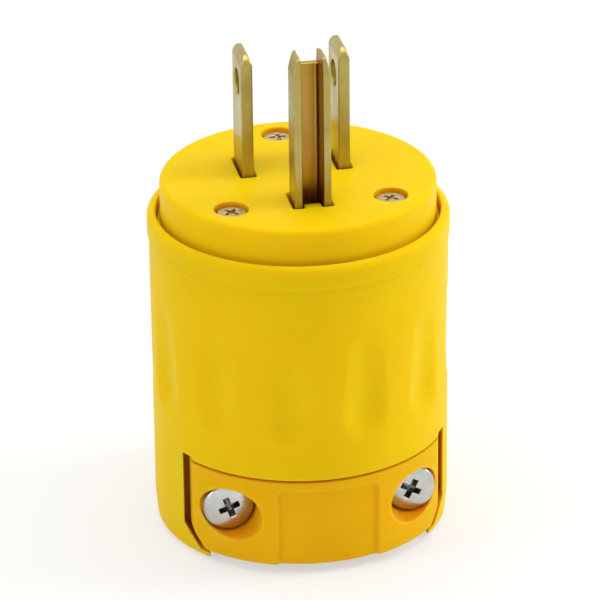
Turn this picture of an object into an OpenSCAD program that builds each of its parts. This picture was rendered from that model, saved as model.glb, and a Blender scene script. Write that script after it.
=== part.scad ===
// Straight blade plug: a round moulded body with two flat blades, a channel ground pin and a cord clamp.
// The plug stands on its cord end with the blades up (+Z). The ground pin and the clamp are in front (-Y).
// Sizes are in millimetres.

/* [Body] */
// diameter of the plain body wall
body_d = 39; // [38.4:0.1:41]
// height of the rim of the body above the cord end
body_len = 43.9; // [43.2:0.1:48]
// step of the rim band out from the body wall
rim_step = 0.2; // [0.1:0.05:0.6]
// height of the rim band
rim_h = 3.1; // [2.4:0.1:4.5]
// rounding of the outer edge of the rim
rim_round = 0.9; // [0.4:0.1:1.2]
// how far the taper brings the wall in at the cord end
rear_in = 0.3; // [0.2:0.05:1.5]
// height of the taper at the cord end
taper_h = 3.8; // [3:0.1:6]
// thickness of the body wall round the wiring room
wall = 2.95; // [2.4:0.05:3.1]
// number of finger flutes round the body
flute_count = 12; // [8:1:16]
// height of the middle of the lower flute end
flute_z = 22.2; // [21:0.1:24]
// length of a flute between the middles of its ends
flute_len = 8.6; // [7:0.1:10]
// radius of the flute's round section
flute_r = 6; // [4:0.1:7]
// depth of a flute at its lower end
flute_deep = 0.9; // [0.5:0.05:1]
// depth of a flute at its upper end
flute_shallow = 0.35; // [0.15:0.05:0.5]
// thickness of the shelf between the clamp pocket and the wiring room
shelf_t = 2.5; // [2:0.1:3]

/* [Face] */
// height of the face above the rim of the body
face_stand = 4.4; // [3.6:0.1:5]
// thickness of the lip of the rim
lip_t = 1.2; // [1:0.05:1.5]
// width of the groove between the lip and the face
groove_w = 0.55; // [0.4:0.05:0.8]
// depth of that groove
groove_deep = 1.3; // [0.8:0.1:1.8]
// thickness of the front wall of the face
face_t = 3.4; // [3:0.1:3.8]
// thickness of the skirt of the face
skirt_t = 2.5; // [2.2:0.1:2.6]
// rounding of the edge of the face
face_round = 0.7; // [0.3:0.1:1.2]
// play between a prong and its opening in the face
slot_play = 0.28; // [0.15:0.01:0.4]

/* [Blades] */
// distance between the middles of the blades
blade_pitch = 12.7; // [12.5:0.05:12.9]
// width of a blade
blade_w = 6.35; // [6:0.05:6.7]
// thickness of a blade
blade_t = 1.52; // [1.4:0.02:1.65]
// length of a blade above the face
blade_len = 16.5; // [15.9:0.1:18.2]
// distance of the blades behind the axis of the plug
blade_back = 3.9; // [3.7:0.1:4.3]
// rounding of the corners at the tip
blade_corner = 1.5; // [0.8:0.1:2.2]
// height of the thinned part of the tip
tip_h = 1.3; // [0.8:0.1:2]
// thickness taken off each side at the tip
tip_cut = 0.42; // [0.2:0.02:0.5]
// diameter of the hole near the tip
blade_hole_d = 3.5; // [3:0.1:4]
// height of that hole above the face
blade_hole_z = 12.1; // [11.6:0.1:12.4]

/* [Ground pin] */
// distance of the ground pin from the line of the blades
ground_pitch = 11.86; // [11.7:0.02:12]
// outer width of the pin
pin_w = 4.75; // [4.6:0.05:4.85]
// thickness of the pin's sheet
pin_t = 1; // [0.85:0.05:1.15]
// length of the pin above the face
pin_len = 20; // [19:0.1:21.5]
// how far the legs of the pin stand above its web
pin_notch = 1.9; // [1:0.1:3]
// rounding of the outer corners along the web
pin_corner = 1; // [0.6:0.05:1.4]
// height of the tapered tip of the legs
pin_tip_h = 2.2; // [1.2:0.1:3]
// how far the tip of a leg narrows
pin_tip_cut = 0.45; // [0.2:0.05:0.6]

/* [Screws] */
// distance of the face screws from the wall of the wiring room
face_screw_in = 2.95; // [2.8:0.05:3.3]
// angle of the two front face screws from the front
face_screw_angle = 49.5; // [48:0.5:54]
// diameter of the head of a face screw
face_head_d = 4.1; // [3.9:0.1:4.4]
// height of that head
face_head_h = 2; // [1.6:0.1:2.2]
// how far the head is sunk below the face
face_head_sink = 0.3; // [0.2:0.05:0.9]
// diameter of the shank of a face screw
face_shank_d = 2.8; // [2.4:0.1:3]
// diameter of the shank of a clamp screw
clamp_shank_d = 3.4; // [3:0.1:3.6]
// share of a post's height that its face screw leaves free at the bottom
post_rest = 0.28; // [0.1:0.02:0.5]
// diameter of the head of a clamp screw
clamp_head_d = 6.6; // [6:0.1:7.2]
// height of that head
clamp_head_h = 2; // [1.6:0.1:2.4]
// length of the shank of a clamp screw
clamp_shank_len = 17.4; // [14:0.1:19]

/* [Cord clamp] */
// angle of each end of the clamp bar from the front
clamp_angle = 57.5; // [56:0.1:59]
// gap at the ends of the clamp bar
clamp_gap = 0.85; // [0.5:0.05:1]
// gap above the clamp bar
clamp_top_gap = 0.25; // [0.15:0.05:0.6]
// how far the slots at the ends of the bar rise above its pocket
slot_rise = 0.45; // [0.2:0.05:0.8]
// height of the lower edge of the clamp bar
clamp_z0 = 1.1; // [0.8:0.1:2]
// height of the upper edge of the clamp bar
clamp_z1 = 13.4; // [13:0.1:14.4]
// height of the cut at the lower corners of the clamp bar
corner_cut = 2.2; // [1.6:0.1:2.6]
// width of that cut
corner_w = 1.3; // [0.9:0.1:1.7]
// gap along that cut
corner_gap = 0.5; // [0.3:0.05:0.7]
// thickness of the clamp bar at its middle
clamp_t = 11.5; // [11:0.05:11.9]
// travel left behind the clamp bar
clamp_travel = 3.5; // [2:0.1:4]
// distance of a clamp screw from the end of the bar
clamp_screw_in = 4.35; // [4.1:0.05:4.7]
// height of the clamp screws
clamp_screw_z = 7.7; // [7.2:0.1:8]
// depth of the screw seats behind the front of the body
clamp_sink = 8.2; // [8:0.05:9]
// diameter of the largest cord
cord_d = 16.6; // [15:0.1:17]
// width of the jaw of the clamp
jaw_w = 14.4; // [13:0.1:15]
// number of grip ridges in the jaw
ridge_count = 3; // [2:1:4]
// height of a grip ridge
ridge_h = 0.5; // [0.3:0.05:0.7]
// width of the sunken panel
panel_w = 13; // [8:0.1:13.6]
// height of the upper edge of the panel
panel_z1 = 12; // [10.5:0.1:12.5]
// depth of the panel
panel_deep = 0.4; // [0.3:0.05:1.2]

/* [Terminals] */
// height of the barrel of the terminal carrier
carrier_h = 12.6; // [12.4:0.1:14]
// distance of a blade's terminal tab from the wall of the wiring room
tab_in = 5.9; // [5.4:0.05:6.4]
// width of a terminal tab
tab_w = 8.6; // [7.5:0.1:9]
// distance of the ground tab from the wall of the wiring room
ground_tab_in = 4.9; // [4.5:0.1:5.4]
// height of the terminal screws above the bottom of the carrier
terminal_z = 7.6; // [7.3:0.1:7.9]
// diameter of the head of a terminal screw
terminal_head_d = 7; // [6.4:0.1:7.2]
// height of that head
terminal_head_h = 1.7; // [1.4:0.1:1.9]
// diameter of the shank of a terminal screw
terminal_shank_d = 4; // [3.5:0.1:4.2]
// gap for the wire between a tab and its pressure plate
wire_gap = 1.6; // [0.8:0.1:1.8]
// side of a pressure plate
plate_w = 8; // [7:0.1:8.6]
// thickness of a pressure plate
plate_t = 1.6; // [1.4:0.1:1.8]

/* [Hidden] */
$fn = 96;
// small gap between pieces that seat on each other
seat = 0.05;
// small overlap for joins
eps = 0.05;
// how far a cut runs past the surface it opens
over = 1;
// sliding gap round moulded pieces
play = 0.15;
// gap round a screw in a clearance hole
screw_play = 0.2;
// gap round a screw in its threaded hole
thread_play = 0.03;

body_r = body_d / 2;
rim_r = body_r + rim_step;
rear_r = body_r - rear_in;
rear_edge = 0.5;
rear_slope = rear_in / taper_h;
chamber_r = body_r - wall;
groove_r = rim_r - lip_t;
face_r = groove_r - groove_w;
cup_r = face_r - skirt_t;
face_top = body_len + face_stand;
flange_z = body_len - groove_deep;
flange_h = 2.5;
ledge_z = flange_z - flange_h;
cup_z = face_top - face_t;
pocket_z = clamp_z1 + clamp_top_gap;
slot_z = pocket_z + slot_rise;
floor_z = pocket_z + shelf_t;
carrier_r = chamber_r - 2 * screw_play;
carrier_top = cup_z - seat;
barrel_top = ledge_z - seat;
carrier_z = barrel_top - carrier_h;
spigot_r = cup_r - play;

face_shank_r = face_shank_d / 2;
face_hole_r = face_shank_r + screw_play;
clamp_shank_r = clamp_shank_d / 2;
clamp_hole_r = clamp_shank_r + screw_play;
face_seat = face_top - face_head_sink - face_head_h;
face_bore_r = face_head_d / 2 + screw_play;
tower_r = 3.6;
tower_rise = 1.6;
tower_z = ledge_z + tower_rise;
boss_r = 3.6;
boss_top = carrier_z - 2 * seat;
face_screw_pcr = chamber_r - face_screw_in;
face_shank_len = face_seat - floor_z - post_rest * (boss_top - floor_z);
face_screw_angles = [-face_screw_angle, face_screw_angle, 180];

clamp_half = body_r * sin(clamp_angle);
clamp_back = body_r - clamp_t;
clamp_seat = body_r - clamp_sink;
pocket_half = clamp_half + clamp_gap;
pocket_y = clamp_back - clamp_travel;
clamp_x = clamp_half - clamp_screw_in;
head_bore_r = clamp_head_d / 2 + screw_play + seat;
cord_r = cord_d / 2;
cord_edge = 0.7;
jaw_half = jaw_w / 2;
jaw_r = cord_r + ridge_h + seat;
channel_half = jaw_half + 2 * play;
jaw_y = cord_r / 3;
bar_low = clamp_z0 + corner_cut;
corner_lean = corner_w / corner_cut;
corner_off = corner_gap * sqrt(1 + corner_lean * corner_lean);
pocket_low = bar_low + (clamp_gap - corner_off) / corner_lean;
foot_h = 0.8;
foot_w = 1;
corner_x = pocket_half - (pocket_low - foot_h) * corner_lean;
foot_x = corner_x - foot_w;

tip_z = face_top + blade_len;
flange_top = carrier_top - seat / 2;
bend_r = 0.8;
blade_x = blade_pitch / 2;
least_run = blade_t + 2 * bend_r + 2 * seat;
tab_run = max(chamber_r - tab_in - blade_x, least_run);
tab_x = blade_x + tab_run;
ground_tab_y = chamber_r - ground_tab_in;
bay_floor = 2.8;
bay_z = carrier_z + bay_floor;
tab_rise = 0.5;
tab_bottom = bay_z + tab_rise;
tab_drop = 0.4;
tab_top = barrel_top - tab_drop;
screw_z = carrier_z + terminal_z;
ground_y = blade_back - ground_pitch;
pin_half = pin_w / 2;
pin_z = face_top + pin_len;
web_y = ground_y + pin_half - pin_t / 2;
legs_z = cup_z + play;
ground_run = ground_tab_y + web_y;
terminal_r = terminal_shank_d / 2;
bay_side = 0.7;
bay_half = tab_w / 2 + bay_side;
blade_plate = tab_x - blade_t / 2 - wire_gap - plate_t;
ground_plate = ground_tab_y - pin_t / 2 - wire_gap - plate_t;
tip_over = 0.8;
tongue = 1.3;
head_dome = 0.6;
face_dome = 0.3;
clamp_dome = 0.45;
point_share = 0.4;
recess_w = 0.8;
recess_reach = 3;
recess_deep = 1.2;
slot_w = 1.1;
slot_deep = 0.9;
small_recess_w = 0.6;
small_recess_reach = 2.4;
ridge_flat = 0.1;
plate_groove = 0.35;
join = 0.01;
wire_r = 1.7;
wire_off = 2.6;

yellow = [0.93, 0.74, 0.06];
dark = [0.16, 0.16, 0.17];
brass = [0.78, 0.62, 0.28];
nickel = [0.75, 0.75, 0.73];
zinc = [0.7, 0.72, 0.74];
green = [0.2, 0.5, 0.28];

// flat section of a ring: from r0 to r1 and from z0 to z1, with a rounded upper outer edge
module rounded_band(r0, r1, z0, z1, round) {
    translate([r0, z0]) square([r1 - r0 - round, z1 - z0]);
    translate([r0, z0]) square([r1 - r0, z1 - z0 - round]);
    translate([r1 - round, z1 - round]) circle(r = round);
}

// rod along +Z from z0 to z1
module rod(r, z0, z1) {
    translate([0, 0, z0]) cylinder(r = r, h = z1 - z0);
}

// box between two corners
module block(low, high) {
    translate(low) cube(high - low);
}

// places a child at the three face screws
module at_face_screws() {
    for (a = face_screw_angles)
        rotate([0, 0, a]) translate([0, -face_screw_pcr, 0]) children();
}

// places a child at the two clamp screws, its +Z pointing out of the front
module at_clamp_screws() {
    for (s = [-1, 1])
        translate([s * clamp_x, 0, clamp_screw_z]) rotate([90, 0, 0]) children();
}

// the two crossed cuts of a driver recess, from the top of a head down
module cross_recess(top, reach, width, deep) {
    for (a = [0, 90])
        rotate([0, 0, a])
            translate([-reach / 2, -width / 2, top - deep]) cube([reach, width, deep + over]);
}

// domed head that stands on z = 0
module domed_head(r, h, dome) {
    ball = (r * r + dome * dome) / (2 * dome);
    intersection() {
        rod(r, 0, h);
        translate([0, 0, h - ball]) sphere(r = ball);
    }
}

// straight shank that hangs below z = 0, with a pointed end
module shank(r, len) {
    point = r * point_share;
    rod(r, point - len, eps);
    translate([0, 0, -len]) cylinder(r1 = r - point, r2 = r, h = point);
}

// solid that the outer wall of the plug follows
module body_solid() {
    rotate_extrude() {
        polygon([
            [0, 0], [rear_r - rear_edge, 0], [rear_r + rear_edge * rear_slope, rear_edge],
            [body_r, taper_h], [body_r, body_len - rim_h - rim_step],
            [rim_r, body_len - rim_h], [0, body_len - rim_h]
        ]);
        rounded_band(0, rim_r, body_len - rim_h - eps, body_len, rim_round);
    }
}

// one finger flute on the +X side, deeper towards the cord
module flute() {
    lean = atan((flute_deep - flute_shallow) / flute_len);
    translate([body_r + flute_r - flute_deep, 0, flute_z]) rotate([0, lean, 0]) {
        sphere(r = flute_r);
        cylinder(r = flute_r, h = flute_len);
        translate([0, 0, flute_len]) sphere(r = flute_r);
    }
}

// room inside the body, above the shelf
module wiring_room() {
    rod(chamber_r, floor_z, ledge_z + eps);
    rod(groove_r, ledge_z, body_len + over);
}

// posts that take the face screws
module bosses() {
    at_face_screws() rod(boss_r, floor_z - eps, boss_top);
}

// hole for the cord, open at both ends with broken edges
module cord_way() {
    rod(cord_r, -over, floor_z + over);
    translate([0, 0, -eps]) cylinder(r1 = cord_r + cord_edge + eps, r2 = cord_r, h = cord_edge + eps);
    translate([0, 0, floor_z - cord_edge])
        cylinder(r1 = cord_r, r2 = cord_r + cord_edge + eps, h = cord_edge + eps);
}

// pocket in the front of the body for the clamp bar and its jaw
module clamp_pocket() {
    translate([0, -pocket_y, 0]) rotate([90, 0, 0]) linear_extrude(height = body_r)
        polygon([
            [-clamp_half, pocket_z], [-clamp_half, slot_z], [-pocket_half, slot_z],
            [-pocket_half, pocket_low], [-corner_x, foot_h], [-foot_x, foot_h], [-foot_x, -over],
            [foot_x, -over], [foot_x, foot_h], [corner_x, foot_h], [pocket_half, pocket_low],
            [pocket_half, slot_z], [clamp_half, slot_z], [clamp_half, pocket_z]
        ]);
    block([-channel_half, -body_r - over, -over], [channel_half, 0, pocket_z]);
}

module housing() {
    color(yellow) difference() {
        union() {
            difference() {
                body_solid();
                wiring_room();
            }
            bosses();
        }
        cord_way();
        clamp_pocket();
        at_face_screws() rod(face_shank_r + thread_play, floor_z - shelf_t / 2, boss_top + over);
        at_clamp_screws()
            rod(clamp_shank_r + thread_play, clamp_seat - clamp_shank_len - over, pocket_y + over);
        for (i = [0 : flute_count - 1])
            rotate([0, 0, (i + 0.5) * 360 / flute_count - 90]) flute();
    }
}

// outline of the ground pin seen from above, grown by a gap
module pin_outline(gap) {
    side = pin_half + gap;
    translate([-side, ground_y - side]) square([2 * side, 2 * side]);
}

// opening in the face round the ground pin, with a tongue between its legs
module pin_opening() {
    inside = pin_half - pin_t - slot_play;
    front = ground_y - pin_half - slot_play;
    difference() {
        translate([0, 0, cup_z - over]) linear_extrude(height = face_t + 2 * over) pin_outline(slot_play);
        block([-inside, front - over, cup_z - 2 * over], [inside, front + tongue, face_top + 2 * over]);
    }
    block([-pin_half - slot_play, front, cup_z - over],
          [pin_half + slot_play, ground_y + pin_half + slot_play, cup_z + over]);
}

// slot in the face for the blade on the given side
module blade_slot(side) {
    half_t = blade_t / 2 + slot_play;
    half_w = blade_w / 2 + slot_play;
    translate([side * blade_x, blade_back, 0]) {
        block([-half_t, -half_w, cup_z - over], [half_t, half_w, face_top + over]);
        mirror([side < 0 ? 1 : 0, 0, 0])
            block([-half_t, -half_w, cup_z - over], [half_t + bend_r + eps, half_w, cup_z + bend_r + play]);
    }
}

module face() {
    color(yellow) difference() {
        union() {
            difference() {
                rotate_extrude() {
                    rounded_band(0, face_r, ledge_z, face_top, face_round);
                    translate([0, ledge_z]) square([groove_r - play, flange_h]);
                }
                rod(cup_r, ledge_z - over, cup_z);
            }
            intersection() {
                at_face_screws() rod(tower_r, tower_z, cup_z + eps);
                rod(face_r, ledge_z, face_top);
            }
        }
        at_face_screws() {
            rod(face_bore_r, face_seat, face_top + over);
            rod(face_hole_r, ledge_z - over, face_seat + over);
        }
        blade_slot(-1);
        blade_slot(1);
        pin_opening();
    }
}

// bay for a terminal: u runs out from the axis, the bay is centred on v
module bay(inner, half) {
    block([inner, -half, bay_z], [body_r, half, barrel_top + over]);
}

// two wire holes under a bay
module wire_holes(u) {
    for (s = [-1, 1])
        translate([u, s * wire_off, 0]) rod(wire_r, carrier_z - over, bay_z + over);
}

// room for a strip: the recess under its flange and the slot for its tab
module strip_room(start, run, thick, width, gap) {
    half = width / 2 + gap;
    block([start, -half, flange_top - thick - gap], [run + thick / 2 + gap, half, carrier_top + over]);
    block([run - thick / 2 - bend_r - gap, -half, bay_z], [run + thick / 2 + gap, half, carrier_top + over]);
}

// what is taken out of the carrier for the blade on the given side
module blade_room(side) {
    mirror([side < 0 ? 1 : 0, 0, 0]) translate([0, blade_back, 0]) {
        bay(blade_plate - tip_over - 2 * screw_play, bay_half);
        wire_holes(tab_x - blade_t / 2 - wire_gap / 2);
        strip_room(blade_x - blade_t / 2 - play, tab_x, blade_t, blade_w, play);
    }
}

// what is taken out of the carrier for the ground pin
module ground_room() {
    rotate([0, 0, -90]) {
        bay(ground_plate - tip_over - 2 * screw_play, bay_half);
        wire_holes(ground_tab_y - pin_t / 2 - wire_gap / 2);
        strip_room(-web_y - pin_t / 2 - play, ground_tab_y, pin_t, pin_w, play);
    }
}

module terminal_carrier() {
    color(dark) difference() {
        union() {
            rod(carrier_r, carrier_z, barrel_top);
            rod(spigot_r, barrel_top - eps, carrier_top);
        }
        at_face_screws() {
            rod(face_hole_r, carrier_z - over, carrier_top + over);
            rod(tower_r + play, tower_z - play, carrier_top + over);
        }
        blade_room(-1);
        blade_room(1);
        ground_room();
    }
}

// quarter of a ring, in the quadrant that the two signs name
module quarter(r0, r1, su, sw) {
    intersection() {
        difference() {
            circle(r = r1);
            circle(r = r0);
        }
        from_u = su > 0 ? 0 : -r1 - over;
        from_w = sw > 0 ? 0 : -r1 - over;
        translate([from_u, from_w]) square([r1 + over, r1 + over]);
    }
}

// side view of a bent strip: up from the flange, out along it and down to the tab
module strip_side(thick, run, top) {
    h = thick / 2;
    turn = h + bend_r;
    low = flange_top - thick;
    translate([-h, flange_top + bend_r - join]) square([thick, top - flange_top - bend_r + join]);
    translate([turn, flange_top + bend_r]) quarter(bend_r, bend_r + thick, -1, -1);
    translate([turn - join, low]) square([run - 2 * turn + 2 * join, thick]);
    translate([run - turn, low - bend_r]) quarter(bend_r, bend_r + thick, 1, 1);
    translate([run - h, tab_bottom]) square([thick, low - bend_r - tab_bottom + join]);
}

// front view of a blade: rounded tip, hole, and the wider tab below
module blade_front() {
    half = blade_w / 2;
    difference() {
        union() {
            translate([-half, tab_bottom]) square([blade_w, tip_z - blade_corner - tab_bottom]);
            translate([blade_corner - half, tab_bottom])
                square([blade_w - 2 * blade_corner, tip_z - tab_bottom]);
            for (s = [-1, 1])
                translate([s * (half - blade_corner), tip_z - blade_corner]) circle(r = blade_corner);
            translate([-tab_w / 2, tab_bottom]) square([tab_w, tab_top - tab_bottom]);
        }
        translate([0, face_top + blade_hole_z]) circle(d = blade_hole_d);
        translate([0, screw_z]) circle(r = terminal_r + screw_play);
    }
}

// blade with the tip thinned on both sides, its tab towards +X
module blade() {
    h = blade_t / 2;
    translate([blade_x, blade_back, 0]) intersection() {
        rotate([90, 0, 0]) translate([0, 0, -tab_w / 2]) linear_extrude(height = tab_w) {
            strip_side(blade_t, tab_run, tip_z - tip_h);
            polygon([
                [-h, tip_z - tip_h - join], [h, tip_z - tip_h - join],
                [h - tip_cut, tip_z], [tip_cut - h, tip_z]
            ]);
        }
        rotate([90, 0, 90]) translate([0, 0, -blade_t])
            linear_extrude(height = tab_run + 3 * blade_t) blade_front();
    }
}

module line_blade() {
    color(brass) mirror([1, 0, 0]) blade();
}

module neutral_blade() {
    color(brass) blade();
}

// cross section of the pin: a channel open to the front with rounded corners along its web
module pin_section() {
    inside = pin_half - pin_t;
    difference() {
        translate([-pin_half, -pin_half]) square([pin_w, pin_w]);
        translate([-inside, -pin_half - over]) square([2 * inside, pin_w - pin_t + over]);
        for (s = [-1, 1])
            translate([s * (pin_half - pin_corner), pin_half - pin_corner])
                difference() {
                    translate([s > 0 ? 0 : -pin_w, 0]) square([pin_w, pin_w]);
                    circle(r = pin_corner);
                }
    }
}

// narrowing of the pin's tip seen from one side
module tip_taper() {
    polygon([
        [-pin_half - over, legs_z - over], [pin_half + over, legs_z - over],
        [pin_half + over, pin_z - pin_tip_h],
        [pin_half, pin_z - pin_tip_h], [pin_half - pin_tip_cut, pin_z + eps],
        [pin_tip_cut - pin_half, pin_z + eps], [-pin_half, pin_z - pin_tip_h],
        [-pin_half - over, pin_z - pin_tip_h]
    ]);
}

// standing part of the pin, its web cut back below the tips of the legs
module pin_channel() {
    inside = pin_half - pin_t;
    intersection() {
        difference() {
            translate([0, 0, legs_z]) linear_extrude(height = pin_z - legs_z) pin_section();
            block([-inside, 0, pin_z - pin_notch], [inside, pin_w, pin_z + over]);
        }
        rotate([90, 0, 0]) translate([0, 0, -pin_w]) linear_extrude(height = 2 * pin_w) tip_taper();
        rotate([90, 0, 90]) translate([0, 0, -pin_w]) linear_extrude(height = 2 * pin_w) tip_taper();
    }
}

// tail of the pin: the web goes on to the flange and the terminal tab
module pin_tail() {
    narrow = pin_w - 2 * pin_corner;
    intersection() {
        rotate([90, 0, 0]) translate([0, 0, -tab_w / 2])
            linear_extrude(height = tab_w) strip_side(pin_t, ground_run, legs_z + over);
        union() {
            block([-pin_w, -pin_w / 2, tab_bottom], [2 * ground_run, pin_w / 2, legs_z - eps]);
            block([-pin_w, -narrow / 2, tab_bottom], [2 * ground_run, narrow / 2, legs_z + over]);
            block([-pin_w, -tab_w / 2, tab_bottom], [2 * ground_run, tab_w / 2, tab_top]);
        }
    }
}

module ground_pin() {
    color(brass) {
        translate([0, ground_y, 0]) pin_channel();
        difference() {
            translate([0, web_y, 0]) rotate([0, 0, -90]) pin_tail();
            translate([0, -ground_tab_y + pin_w, screw_z]) rotate([90, 0, 0])
                cylinder(r = terminal_r + screw_play, h = 2 * pin_w);
        }
    }
}

// binding head screw on +X, its head outside a tab at u and its tip past the plate
module terminal_screw(u, inner) {
    translate([u + seat, 0, screw_z]) rotate([0, 90, 0]) difference() {
        union() {
            domed_head(terminal_head_d / 2, terminal_head_h, head_dome);
            shank(terminal_r, u + seat - inner + tip_over);
        }
        translate([0, 0, terminal_head_h])
            cube([terminal_head_d + over, slot_w, 2 * slot_deep], center = true);
        cross_recess(terminal_head_h, recess_reach, recess_w, recess_deep);
    }
}

module line_terminal_screw() {
    color(brass) mirror([1, 0, 0]) translate([0, blade_back, 0])
        terminal_screw(tab_x + blade_t / 2, blade_plate);
}

module neutral_terminal_screw() {
    color(nickel) translate([0, blade_back, 0])
        terminal_screw(tab_x + blade_t / 2, blade_plate);
}

module ground_terminal_screw() {
    color(green) rotate([0, 0, -90])
        terminal_screw(ground_tab_y + pin_t / 2, ground_plate);
}

// square plate on +X that starts at u, with two wire grooves across its outer side
module pressure_plate(u) {
    half = plate_w / 2;
    difference() {
        block([u, -half, screw_z - half], [u + plate_t, half, screw_z + half]);
        translate([u - over, 0, screw_z]) rotate([0, 90, 0])
            cylinder(r = terminal_r + thread_play, h = plate_t + 2 * over);
        for (s = [-1, 1])
            translate([u + plate_t, s * wire_off, screw_z - half - over])
                rotate([0, 0, 45]) translate([-plate_groove, -plate_groove, 0])
                    cube([2 * plate_groove, 2 * plate_groove, plate_w + 2 * over]);
    }
}

module line_pressure_plate() {
    color(brass) mirror([1, 0, 0]) translate([0, blade_back, 0]) pressure_plate(blade_plate);
}

module neutral_pressure_plate() {
    color(brass) translate([0, blade_back, 0]) pressure_plate(blade_plate);
}

module ground_pressure_plate() {
    color(brass) rotate([0, 0, -90]) pressure_plate(ground_plate);
}

module face_screws() {
    color(zinc) at_face_screws() translate([0, 0, face_seat + seat]) difference() {
        union() {
            domed_head(face_head_d / 2, face_head_h, face_dome);
            shank(face_shank_r, face_shank_len);
        }
        cross_recess(face_head_h, small_recess_reach, small_recess_w, recess_deep);
    }
}

// ridges that bite into the cord, one above the other in the jaw
module ridges() {
    step = (clamp_z1 - clamp_z0) / (ridge_count + 1);
    rotate_extrude()
        for (i = [1 : ridge_count])
            translate([jaw_r, clamp_z0 + i * step])
                polygon([
                    [eps, -ridge_h - eps], [-ridge_h, -ridge_flat],
                    [-ridge_h, ridge_flat], [eps, ridge_h + eps]
                ]);
}

// the clamp bar seen from the front, with its lower corners cut off
module bar_front() {
    polygon([
        [-clamp_half, clamp_z1], [-clamp_half, bar_low], [corner_w - clamp_half, clamp_z0],
        [clamp_half - corner_w, clamp_z0], [clamp_half, bar_low], [clamp_half, clamp_z1]
    ]);
}

// clamp bar that follows the body, with a jaw behind it that is hollowed to the cord
module clamp_bar() {
    difference() {
        union() {
            intersection() {
                body_solid();
                translate([0, -clamp_back, 0]) rotate([90, 0, 0])
                    linear_extrude(height = body_r) bar_front();
            }
            block([-jaw_half, -clamp_back - over, clamp_z0], [jaw_half, -jaw_y, clamp_z1]);
        }
        rod(jaw_r, 0, clamp_z1 + over);
    }
}

// sunken panel in the front of the bar, open at its lower edge
module panel() {
    difference() {
        block([-panel_w / 2, -body_r - over, 0], [panel_w / 2, -clamp_back, panel_z1]);
        rotate_extrude() polygon([
            [0, -over], [rear_r - panel_deep, -over], [rear_r - panel_deep, rear_edge],
            [body_r - panel_deep, taper_h], [body_r - panel_deep, body_len], [0, body_len]
        ]);
    }
}

module cord_clamp() {
    color(yellow) {
        difference() {
            clamp_bar();
            at_clamp_screws() {
                rod(clamp_hole_r, 0, body_r);
                rod(head_bore_r, clamp_seat, body_r);
            }
            panel();
        }
        intersection() {
            ridges();
            block([-jaw_half, -jaw_r - over, clamp_z0], [jaw_half, -jaw_y, clamp_z1]);
        }
    }
}

module cord_clamp_screws() {
    color(zinc) at_clamp_screws() translate([0, 0, clamp_seat + seat]) difference() {
        union() {
            domed_head(clamp_head_d / 2, clamp_head_h, clamp_dome);
            shank(clamp_shank_r, clamp_shank_len);
        }
        cross_recess(clamp_head_h, recess_reach, recess_w, recess_deep);
    }
}

housing();
face();
terminal_carrier();
line_blade();
neutral_blade();
ground_pin();
line_terminal_screw();
neutral_terminal_screw();
ground_terminal_screw();
line_pressure_plate();
neutral_pressure_plate();
ground_pressure_plate();
face_screws();
cord_clamp();
cord_clamp_screws();
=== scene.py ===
import math

import bmesh
import bpy
import numpy as np
from mathutils import Matrix, Vector


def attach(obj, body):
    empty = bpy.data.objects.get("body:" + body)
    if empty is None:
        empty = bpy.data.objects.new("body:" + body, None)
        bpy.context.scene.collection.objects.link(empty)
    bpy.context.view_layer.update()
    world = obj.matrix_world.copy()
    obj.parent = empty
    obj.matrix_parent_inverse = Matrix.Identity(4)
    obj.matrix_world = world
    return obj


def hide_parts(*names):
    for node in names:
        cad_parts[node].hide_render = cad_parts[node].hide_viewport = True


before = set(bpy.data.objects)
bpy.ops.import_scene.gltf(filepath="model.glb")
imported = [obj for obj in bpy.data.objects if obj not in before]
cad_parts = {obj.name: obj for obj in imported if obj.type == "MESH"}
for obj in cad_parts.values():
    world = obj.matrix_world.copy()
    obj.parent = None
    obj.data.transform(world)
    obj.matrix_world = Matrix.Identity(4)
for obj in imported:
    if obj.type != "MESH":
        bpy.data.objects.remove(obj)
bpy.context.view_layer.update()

# Sizes in millimetres, as in the part's source
MM = 0.001

# Housing
BODY_R, BODY_LEN = 19.5, 43.9
REAR_R, TAPER_H, TAPER_CURVE, REAR_ROUND = 19.2, 3.8, 1.4, 0.6
RIM_STEP, RIM_H, RIM_ROUND, RIM_RUN = 0.2, 3.1, 0.9, 0.2
FLUTES, FLUTE_Z, FLUTE_LEN, FLUTE_R = 12, 22.2, 8.6, 6.0
FLUTE_DEEP, FLUTE_SHALLOW, FLUTE_SOFT = 0.9, 0.35, 0.5
ROOM_R, FLOOR_Z, ROOM_ROUND = 16.55, 16.15, 0.3
LEDGE_Z, GROOVE_R = 40.1, 18.5
POST_R, POST_Z, POST_ROUND = 3.6, 27.3, 0.3

# Face
FACE_R, FACE_TOP, FACE_ROUND = 17.95, 48.3, 0.7
FLANGE_R, FLANGE_Z, FLANGE_ROUND = 18.35, 42.6, 0.2
CUP_R, CUP_Z, FACE_POST_GAP = 15.45, 44.9, 1.6
SCREW_RING, SCREW_ANGLES = 13.6, (-49.5, 49.5, 180.0)
BORE_R, BORE_SEAT, BORE_EDGE, FACE_HOLE_R = 2.25, 46.0, 0.12, 1.6
SLOT_PLAY, SLOT_CORNER, SLOT_EDGE = 0.28, 0.2, 0.22
PIN_HOLE_CORNER, TONGUE = 0.3, 1.3

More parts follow.
